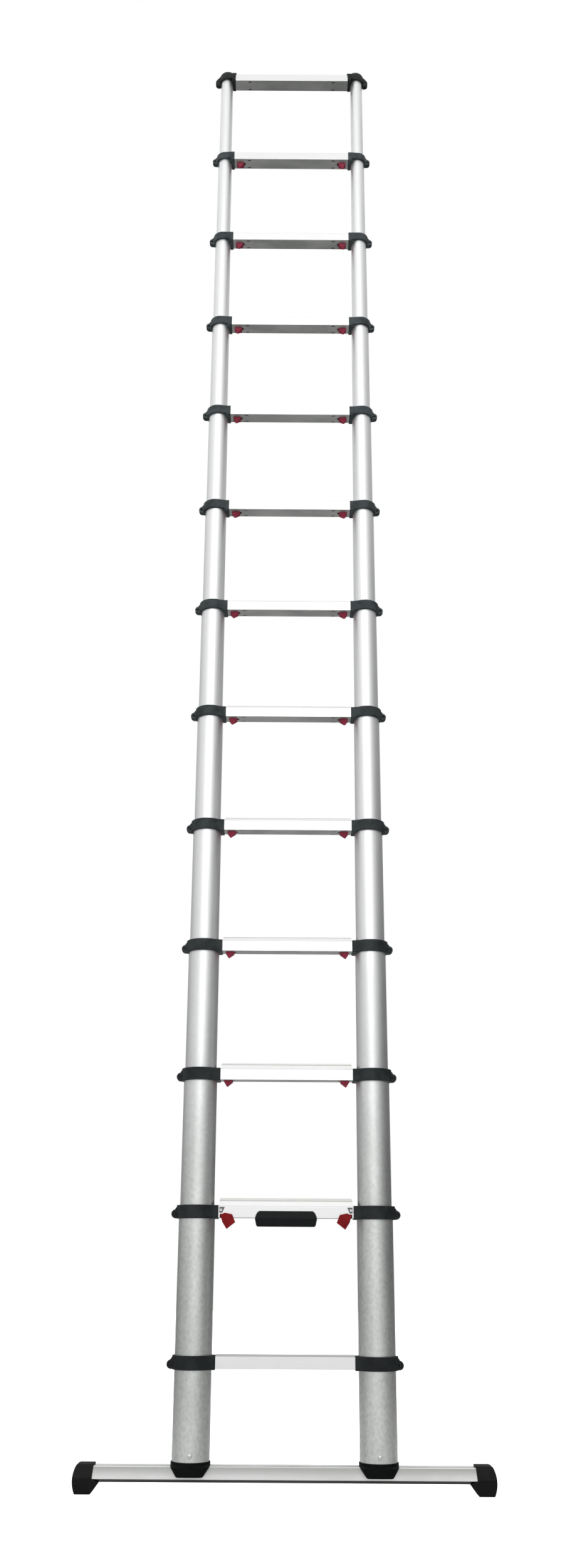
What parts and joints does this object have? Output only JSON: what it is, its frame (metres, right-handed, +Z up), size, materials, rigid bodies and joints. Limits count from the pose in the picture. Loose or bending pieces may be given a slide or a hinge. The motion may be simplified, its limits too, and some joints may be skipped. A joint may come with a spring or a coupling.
{
  "type": "telescoping ladder",
  "caption": "Tall telescoping ladder with nested round stiles, moulded rung collars, red release triggers and a rubber-footed stabiliser bar.",
  "frame": {"origin": "on the floor, midway between the two stiles and on their centre plane", "axes": "+Z up the ladder, +X along the rungs to the right as seen by the climber, -Y towards the climber"},
  "size_m": [0.885, 0.091, 3.907],
  "materials": {
    "tube_aluminium": "satin anodised",
    "rung_aluminium": "satin anodised, ribbed tread",
    "bar_aluminium": "satin anodised extrusion",
    "collar_plastic": "matte moulded",
    "foot_cap_plastic": "matte moulded",
    "foot_rubber": "matte moulded rubber",
    "release_button_plastic": "satin moulded",
    "trigger_plastic": "satin moulded",
    "label_plastic": "matte moulded, blank",
    "steel": "zinc plated"
  },
  "bodies": {
    "base": {"tubes_01": "tube_aluminium", "rung_01": "rung_aluminium", "rung_02": "rung_aluminium", "collars_01": "collar_plastic", "collars_02": "collar_plastic", "trigger_brackets": "steel", "trigger_pivots": "steel", "stabiliser_bar": "bar_aluminium", "bar_feet": "foot_rubber", "bar_bolts": "steel", "stile_foot_caps": "foot_cap_plastic", "foot_bolts": "steel", "label_plate": "label_plastic"},
    "section_02": {"tubes_02": "tube_aluminium", "rung_03": "rung_aluminium", "collars_03": "collar_plastic"},
    "section_03": {"tubes_03": "tube_aluminium", "rung_04": "rung_aluminium", "collars_04": "collar_plastic"},
    "section_04": {"tubes_04": "tube_aluminium", "rung_05": "rung_aluminium", "collars_05": "collar_plastic"},
    "section_05": {"tubes_05": "tube_aluminium", "rung_06": "rung_aluminium", "collars_06": "collar_plastic"},
    "section_06": {"tubes_06": "tube_aluminium", "rung_07": "rung_aluminium", "collars_07": "collar_plastic"},
    "section_07": {"tubes_07": "tube_aluminium", "rung_08": "rung_aluminium", "collars_08": "collar_plastic"},
    "section_08": {"tubes_08": "tube_aluminium", "rung_09": "rung_aluminium", "collars_09": "collar_plastic"},
    "section_09": {"tubes_09": "tube_aluminium", "rung_10": "rung_aluminium", "collars_10": "collar_plastic"},
    "section_10": {"tubes_10": "tube_aluminium", "rung_11": "rung_aluminium", "collars_11": "collar_plastic"},
    "section_11": {"tubes_11": "tube_aluminium", "rung_12": "rung_aluminium", "collars_12": "collar_plastic"},
    "section_12": {"tubes_12": "tube_aluminium", "rung_13": "rung_aluminium", "end_caps": "collar_plastic"},
    "buttons_03": {"release_buttons_03": "release_button_plastic"},
    "buttons_04": {"release_buttons_04": "release_button_plastic"},
    "buttons_05": {"release_buttons_05": "release_button_plastic"},
    "buttons_06": {"release_buttons_06": "release_button_plastic"},
    "buttons_07": {"release_buttons_07": "release_button_plastic"},
    "buttons_08": {"release_buttons_08": "release_button_plastic"},
    "buttons_09": {"release_buttons_09": "release_button_plastic"},
    "buttons_10": {"release_buttons_10": "release_button_plastic"},
    "buttons_11": {"release_buttons_11": "release_button_plastic"},
    "buttons_12": {"release_buttons_12": "release_button_plastic"},
    "trigger_left": {"thumb_trigger_left": "trigger_plastic"},
    "pin_left": {"lock_pin_left": "steel"},
    "trigger_right": {"thumb_trigger_right": "trigger_plastic"},
    "pin_right": {"lock_pin_right": "steel"}
  },
  "joints": [
    {"name": "section_02_slide", "type": "slide", "parent": "base", "child": "section_02", "axis": [0, 0, 1], "range_m": [-0.248, 0]},
    {"name": "section_03_slide", "type": "slide", "parent": "section_02", "child": "section_03", "axis": [0, 0, 1], "range_m": [-0.248, 0]},
    {"name": "section_04_slide", "type": "slide", "parent": "section_03", "child": "section_04", "axis": [0, 0, 1], "range_m": [-0.248, 0]},
    {"name": "section_05_slide", "type": "slide", "parent": "section_04", "child": "section_05", "axis": [0, 0, 1], "range_m": [-0.248, 0]},
    {"name": "section_06_slide", "type": "slide", "parent": "section_05", "child": "section_06", "axis": [0, 0, 1], "range_m": [-0.248, 0]},
    {"name": "section_07_slide", "type": "slide", "parent": "section_06", "child": "section_07", "axis": [0, 0, 1], "range_m": [-0.248, 0]},
    {"name": "section_08_slide", "type": "slide", "parent": "section_07", "child": "section_08", "axis": [0, 0, 1], "range_m": [-0.248, 0]},
    {"name": "section_09_slide", "type": "slide", "parent": "section_08", "child": "section_09", "axis": [0, 0, 1], "range_m": [-0.248, 0]},
    {"name": "section_10_slide", "type": "slide", "parent": "section_09", "child": "section_10", "axis": [0, 0, 1], "range_m": [-0.248, 0]},
    {"name": "section_11_slide", "type": "slide", "parent": "section_10", "child": "section_11", "axis": [0, 0, 1], "range_m": [-0.248, 0]},
    {"name": "section_12_slide", "type": "slide", "parent": "section_11", "child": "section_12", "axis": [0, 0, 1], "range_m": [-0.248, 0]},
    {"name": "buttons_03_press", "type": "slide", "parent": "section_02", "child": "buttons_03", "axis": [0, 0, 1], "range_m": [0, 0.006], "stiffness_N_per_m": 400, "springref_m": -0.004},
    {"name": "buttons_04_press", "type": "slide", "parent": "section_03", "child": "buttons_04", "axis": [0, 0, 1], "range_m": [0, 0.006], "stiffness_N_per_m": 400, "springref_m": -0.004},
    {"name": "buttons_05_press", "type": "slide", "parent": "section_04", "child": "buttons_05", "axis": [0, 0, 1], "range_m": [0, 0.006], "stiffness_N_per_m": 400, "springref_m": -0.004},
    {"name": "buttons_06_press", "type": "slide", "parent": "section_05", "child": "buttons_06", "axis": [0, 0, 1], "range_m": [0, 0.006], "stiffness_N_per_m": 400, "springref_m": -0.004},
    {"name": "buttons_07_press", "type": "slide", "parent": "section_06", "child": "buttons_07", "axis": [0, 0, 1], "range_m": [0, 0.006], "stiffness_N_per_m": 400, "springref_m": -0.004},
    {"name": "buttons_08_press", "type": "slide", "parent": "section_07", "child": "buttons_08", "axis": [0, 0, 1], "range_m": [0, 0.006], "stiffness_N_per_m": 400, "springref_m": -0.004},
    {"name": "buttons_09_press", "type": "slide", "parent": "section_08", "child": "buttons_09", "axis": [0, 0, 1], "range_m": [0, 0.006], "stiffness_N_per_m": 400, "springref_m": -0.004},
    {"name": "buttons_10_press", "type": "slide", "parent": "section_09", "child": "buttons_10", "axis": [0, 0, 1], "range_m": [0, 0.006], "stiffness_N_per_m": 400, "springref_m": -0.004},
    {"name": "buttons_11_press", "type": "slide", "parent": "section_10", "child": "buttons_11", "axis": [0, 0, 1], "range_m": [0, 0.006], "stiffness_N_per_m": 400, "springref_m": -0.004},
    {"name": "buttons_12_press", "type": "slide", "parent": "section_11", "child": "buttons_12", "axis": [0, 0, 1], "range_m": [0, 0.006], "stiffness_N_per_m": 400, "springref_m": -0.004},
    {"name": "trigger_right_squeeze", "type": "hinge", "parent": "base", "child": "trigger_right", "pos_m": [0.1439, 0, 0.5634], "axis": [0, 1, 0], "range_deg": [0, 25], "stiffness_Nm_per_rad": 1.2, "springref_deg": -14.32},
    {"name": "pin_right_retract", "type": "slide", "parent": "base", "child": "pin_right", "axis": [-1, 0, 0], "range_m": [0, 0.0047]},
    {"name": "trigger_left_squeeze", "type": "hinge", "parent": "base", "child": "trigger_left", "pos_m": [-0.1439, 0, 0.5634], "axis": [0, -1, 0], "range_deg": [0, 25], "stiffness_Nm_per_rad": 1.2, "springref_deg": -14.32},
    {"name": "pin_left_retract", "type": "slide", "parent": "base", "child": "pin_left", "axis": [1, 0, 0], "range_m": [0, 0.0047]}
  ],
  "couplings": [
    {"joint": "pin_right_retract", "follows": "trigger_right_squeeze", "m_per_rad": 0.01054},
    {"joint": "pin_left_retract", "follows": "trigger_left_squeeze", "m_per_rad": 0.01054}
  ]
}
